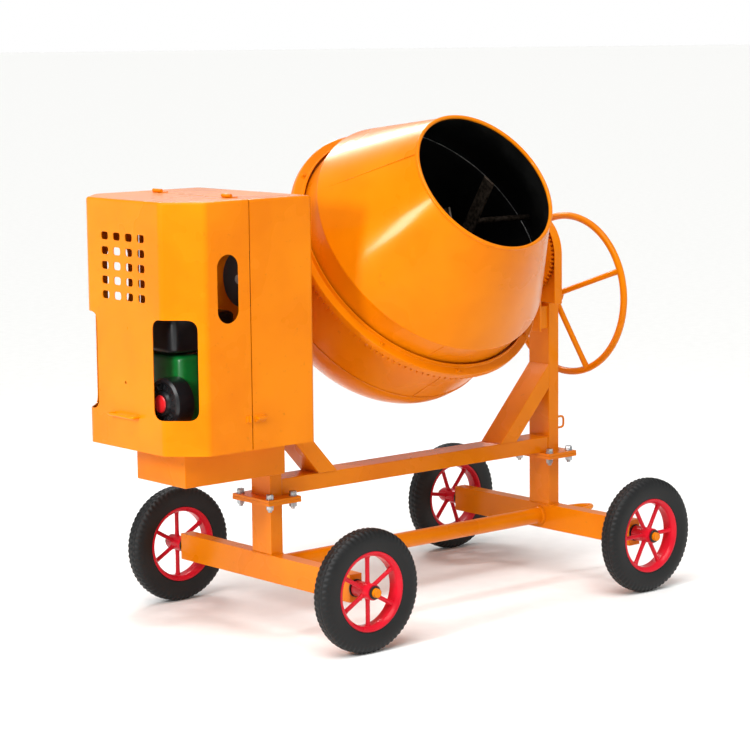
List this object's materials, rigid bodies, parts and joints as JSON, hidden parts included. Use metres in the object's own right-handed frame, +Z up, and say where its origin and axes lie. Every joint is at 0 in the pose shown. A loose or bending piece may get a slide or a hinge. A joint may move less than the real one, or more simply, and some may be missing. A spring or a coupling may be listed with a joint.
{
  "type": "tilting drum concrete mixer",
  "caption": "Portable tilting drum concrete mixer on a wheeled trolley, with an engine under a hinged hood and a geared hand wheel that tips the drum.",
  "frame": {"origin": "middle of the overall box at ground level", "axes": "+X along the machine from the engine hood to the hand wheel, -Y the side the drum mouth faces, +Z up"},
  "size_m": [2.108, 1.124, 1.6706],
  "materials": {
    "orange_paint": "gloss orange enamel",
    "red_paint": "gloss red enamel",
    "bare_steel": "turned steel",
    "black_paint": "satin black",
    "drum_inside": "matt black",
    "engine_green": "green engine enamel",
    "tyre_rubber": "solid rubber"
  },
  "bodies": {
    "trolley": {"left_axle_beam": "orange_paint", "right_axle_beam": "orange_paint", "stub_axles": "black_paint", "tie_tube": "orange_paint", "long_beam": "orange_paint", "left_post": "orange_paint", "right_post": "orange_paint", "frame_braces": "orange_paint", "tow_loop": "orange_paint", "post_eye": "orange_paint", "engine_base": "orange_paint", "engine_block": "engine_green", "hood_body": "orange_paint", "hood_hinges": "orange_paint", "left_bearing": "orange_paint", "right_bearing_plate": "orange_paint", "tilt_gear_guard": "orange_paint", "shaft_sleeve": "orange_paint"},
    "engine_cover": {"hood_cover": "orange_paint", "cover_handle": "orange_paint"},
    "tilting_yoke": {"yoke": "orange_paint", "left_trunnion": "bare_steel", "right_trunnion": "bare_steel", "tilt_gear": "orange_paint", "gear_guard_ring": "orange_paint", "drum_spindle": "bare_steel"},
    "drum": {"drum_bowl": "orange_paint", "drum_cone": "orange_paint", "mouth_bead": "orange_paint", "ring_gear": "orange_paint", "drum_hub": "orange_paint", "mixing_paddles": "drum_inside"},
    "drive_line": {"drive_shaft": "bare_steel", "drive_pinion": "bare_steel", "belt_pulley": "black_paint"},
    "hand_wheel_set": {"hand_wheel": "orange_paint", "tilt_pinion": "bare_steel"},
    "road_wheel_left_front": {"tyre_left_front": "tyre_rubber", "wheel_left_front": "red_paint"},
    "road_wheel_left_back": {"tyre_left_back": "tyre_rubber", "wheel_left_back": "red_paint"},
    "road_wheel_right_front": {"tyre_right_front": "tyre_rubber", "wheel_right_front": "red_paint"},
    "road_wheel_right_back": {"tyre_right_back": "tyre_rubber", "wheel_right_back": "red_paint"}
  },
  "joints": [
    {"name": "drum_tilt", "type": "hinge", "parent": "trolley", "child": "tilting_yoke", "pos_m": [0.164, 0, 1.16], "axis": [1, 0, 0], "range_deg": [-53.5, 86.5]},
    {"name": "drum_spin", "type": "hinge", "parent": "tilting_yoke", "child": "drum", "pos_m": [0.144, 0, 1.16], "axis": [0, -0.8039, 0.5948], "continuous": true},
    {"name": "drive_shaft_spin", "type": "hinge", "parent": "tilting_yoke", "child": "drive_line", "pos_m": [0.164, 0, 1.16], "axis": [1, 0, 0], "continuous": true},
    {"name": "hand_wheel_spin", "type": "hinge", "parent": "trolley", "child": "hand_wheel_set", "pos_m": [0.164, 0, 0.9975], "axis": [1, 0, 0], "range_deg": [-430, 270]},
    {"name": "engine_cover_lift", "type": "hinge", "parent": "trolley", "child": "engine_cover", "pos_m": [-0.754, 0, 1.4483], "axis": [0, 1, 0], "range_deg": [0, 85]},
    {"name": "wheel_spin_left_front", "type": "hinge", "parent": "trolley", "child": "road_wheel_left_front", "pos_m": [-0.473, -0.505, 0.2], "axis": [0, 1, 0], "continuous": true},
    {"name": "wheel_spin_left_back", "type": "hinge", "parent": "trolley", "child": "road_wheel_left_back", "pos_m": [-0.473, 0.505, 0.2], "axis": [0, 1, 0], "continuous": true},
    {"name": "wheel_spin_right_front", "type": "hinge", "parent": "trolley", "child": "road_wheel_right_front", "pos_m": [0.801, -0.505, 0.2], "axis": [0, 1, 0], "continuous": true},
    {"name": "wheel_spin_right_back", "type": "hinge", "parent": "trolley", "child": "road_wheel_right_back", "pos_m": [0.801, 0.505, 0.2], "axis": [0, 1, 0], "continuous": true}
  ],
  "couplings": [
    {"joint": "hand_wheel_spin", "follows": "drum_tilt", "ratio": -4.9091},
    {"joint": "drive_shaft_spin", "follows": "drum_spin", "ratio": 13.2}
  ]
}
